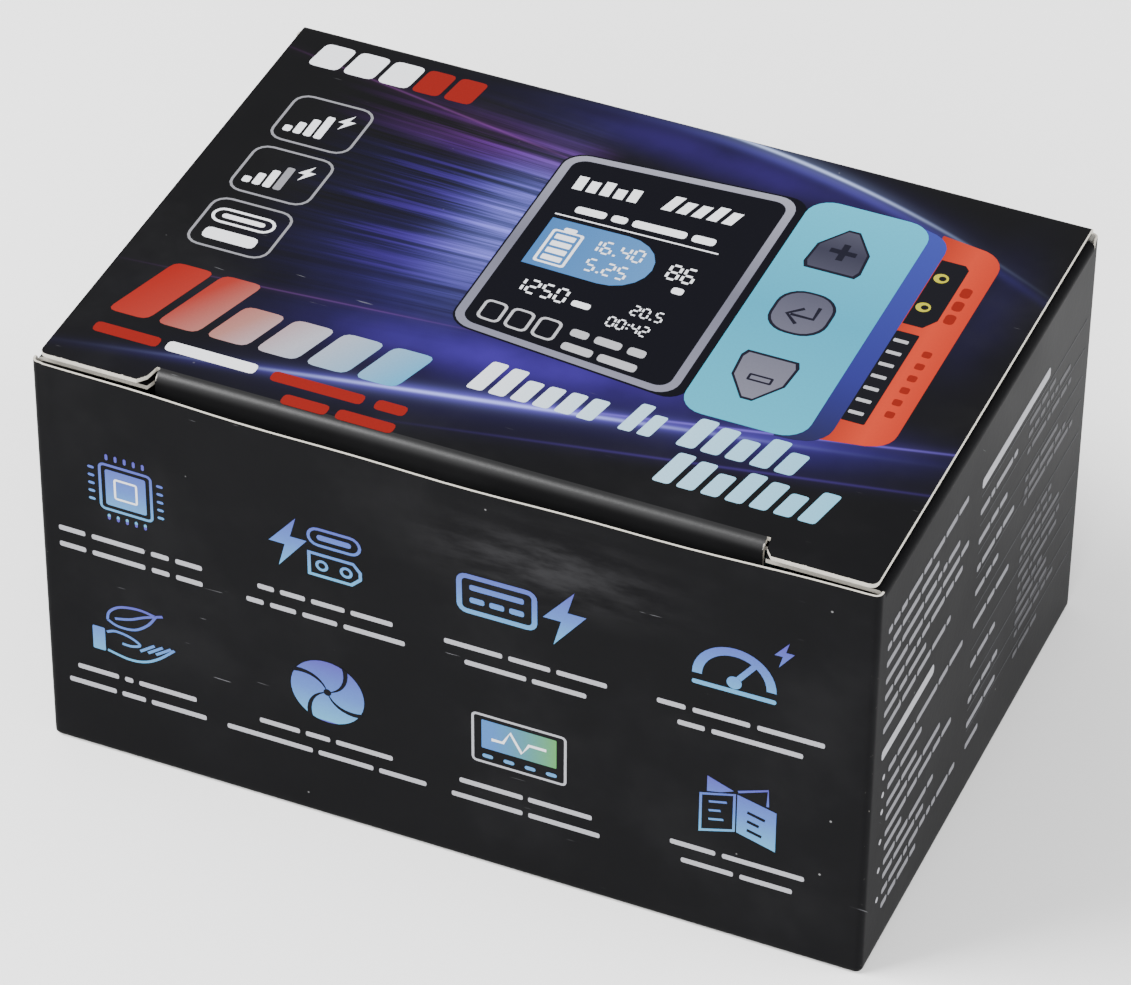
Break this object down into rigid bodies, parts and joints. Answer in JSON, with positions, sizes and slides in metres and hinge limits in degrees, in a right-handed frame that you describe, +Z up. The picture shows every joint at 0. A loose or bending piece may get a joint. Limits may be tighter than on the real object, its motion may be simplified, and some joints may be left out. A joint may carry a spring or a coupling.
{
  "type": "boxed balance battery charger",
  "caption": "Tuck-end printed carton with a hinged lid, dust flaps and foam tray that holds a compact balance battery charger with a screen, keys, power sockets, USB-C port and fan.",
  "frame": {"origin": "on the floor, under the middle of the carton", "axes": "+X to the right as one faces the carton's front, +Y to its back, where the lid hinges, +Z up"},
  "size_m": [0.115, 0.08, 0.064],
  "materials": {
    "printed_board": "matt laminated black print on white board",
    "foam": "closed-cell black foam",
    "paper": "plain folded leaflet",
    "red_plastic": "fine spark texture",
    "black_plastic": "satin",
    "grey_plastic": "satin",
    "screen_glass": "gloss black window",
    "lcd": "dark display panel",
    "blue_plastic": "satin pale blue",
    "key_plastic": "satin grey-violet",
    "switch_metal": "plain stamped metal",
    "circuit_board": "green solder mask",
    "chip_plastic": "moulded epoxy",
    "ferrite": "sintered ferrite",
    "copper": "enamelled copper wire",
    "heat_sink_metal": "extruded aluminium",
    "fan_plastic": "satin",
    "connector_plastic": "glass-filled nylon",
    "gold_contact": "gold-plated brass",
    "tin_pin": "tinned brass",
    "screw_steel": "zinc-plated steel",
    "foot_rubber": "matt rubber"
  },
  "bodies": {
    "carton": {"carton_sleeve": "printed_board", "bottom_panel": "printed_board", "foam_insert": "foam", "user_leaflet": "paper"},
    "lid": {"lid_panel": "printed_board"},
    "tuck": {"tuck_flap": "printed_board"},
    "dust_left": {"dust_flap_left": "printed_board"},
    "dust_right": {"dust_flap_right": "printed_board"},
    "charger": {"rear_shell": "red_plastic", "front_frame": "black_plastic", "screen_bezel": "grey_plastic", "screen_window": "screen_glass", "lcd_module": "lcd", "button_cover": "blue_plastic", "tact_switch_plus": "switch_metal", "tact_switch_enter": "switch_metal", "tact_switch_minus": "switch_metal", "usb_c_shell": "switch_metal", "button_board": "circuit_board", "main_board": "circuit_board", "microcontroller": "chip_plastic", "mosfet_1": "chip_plastic", "mosfet_2": "chip_plastic", "mosfet_3": "chip_plastic", "mosfet_4": "chip_plastic", "beeper": "chip_plastic", "inductor_core": "ferrite", "inductor_coil": "copper", "heat_sink": "heat_sink_metal", "capacitor_1": "heat_sink_metal", "capacitor_2": "heat_sink_metal", "fan_frame": "fan_plastic", "output_socket": "connector_plastic", "input_socket": "connector_plastic", "balance_header": "connector_plastic", "usb_c_tongue": "connector_plastic", "output_contact_negative": "gold_contact", "output_contact_positive": "gold_contact", "input_pin_negative": "gold_contact", "input_pin_positive": "gold_contact", "balance_pin_1": "tin_pin", "balance_pin_2": "tin_pin", "balance_pin_3": "tin_pin", "balance_pin_4": "tin_pin", "balance_pin_5": "tin_pin", "balance_pin_6": "tin_pin", "balance_pin_7": "tin_pin", "shell_screw_1": "screw_steel", "shell_screw_2": "screw_steel", "shell_screw_3": "screw_steel", "shell_screw_4": "screw_steel", "rubber_foot_1": "foot_rubber", "rubber_foot_2": "foot_rubber", "rubber_foot_3": "foot_rubber", "rubber_foot_4": "foot_rubber"},
    "key_plus": {"button_plus": "key_plastic"},
    "key_enter": {"button_enter": "key_plastic"},
    "key_minus": {"button_minus": "key_plastic"},
    "fan": {"fan_rotor": "fan_plastic"}
  },
  "joints": [
    {"name": "lid_hinge", "type": "hinge", "parent": "carton", "child": "lid", "pos_m": [0, 0.0397, 0.0637], "axis": [-1, 0, 0], "range_deg": [0, 120]},
    {"name": "tuck_fold", "type": "hinge", "parent": "lid", "child": "tuck", "pos_m": [0, -0.036, 0.0637], "axis": [-1, 0, 0], "range_deg": [0, 48]},
    {"name": "dust_left_hinge", "type": "hinge", "parent": "carton", "child": "dust_left", "pos_m": [-0.0572, 0, 0.0626], "axis": [0, -1, 0], "range_deg": [0, 120]},
    {"name": "dust_right_hinge", "type": "hinge", "parent": "carton", "child": "dust_right", "pos_m": [0.0572, 0, 0.0626], "axis": [0, 1, 0], "range_deg": [0, 120]},
    {"name": "charger_lift", "type": "slide", "parent": "carton", "child": "charger", "axis": [0, 0, 1], "range_m": [0, 0.0628]},
    {"name": "plus_press", "type": "slide", "parent": "charger", "child": "key_plus", "axis": [0, 0, -1], "range_m": [0, 0.0005], "stiffness_N_per_m": 800},
    {"name": "enter_press", "type": "slide", "parent": "charger", "child": "key_enter", "axis": [0, 0, -1], "range_m": [0, 0.0005], "stiffness_N_per_m": 800},
    {"name": "minus_press", "type": "slide", "parent": "charger", "child": "key_minus", "axis": [0, 0, -1], "range_m": [0, 0.0005], "stiffness_N_per_m": 800},
    {"name": "fan_spin", "type": "hinge", "parent": "charger", "child": "fan", "pos_m": [-0.006, 0, 0.0248], "axis": [0, 0, 1], "continuous": true}
  ],
  "couplings": [
    {"joint": "lid_hinge", "follows": "charger_lift", "rad_per_m": 33.33},
    {"joint": "tuck_fold", "follows": "charger_lift", "rad_per_m": 13.33},
    {"joint": "dust_left_hinge", "follows": "charger_lift", "rad_per_m": 33.33},
    {"joint": "dust_right_hinge", "follows": "charger_lift", "rad_per_m": 33.33}
  ]
}
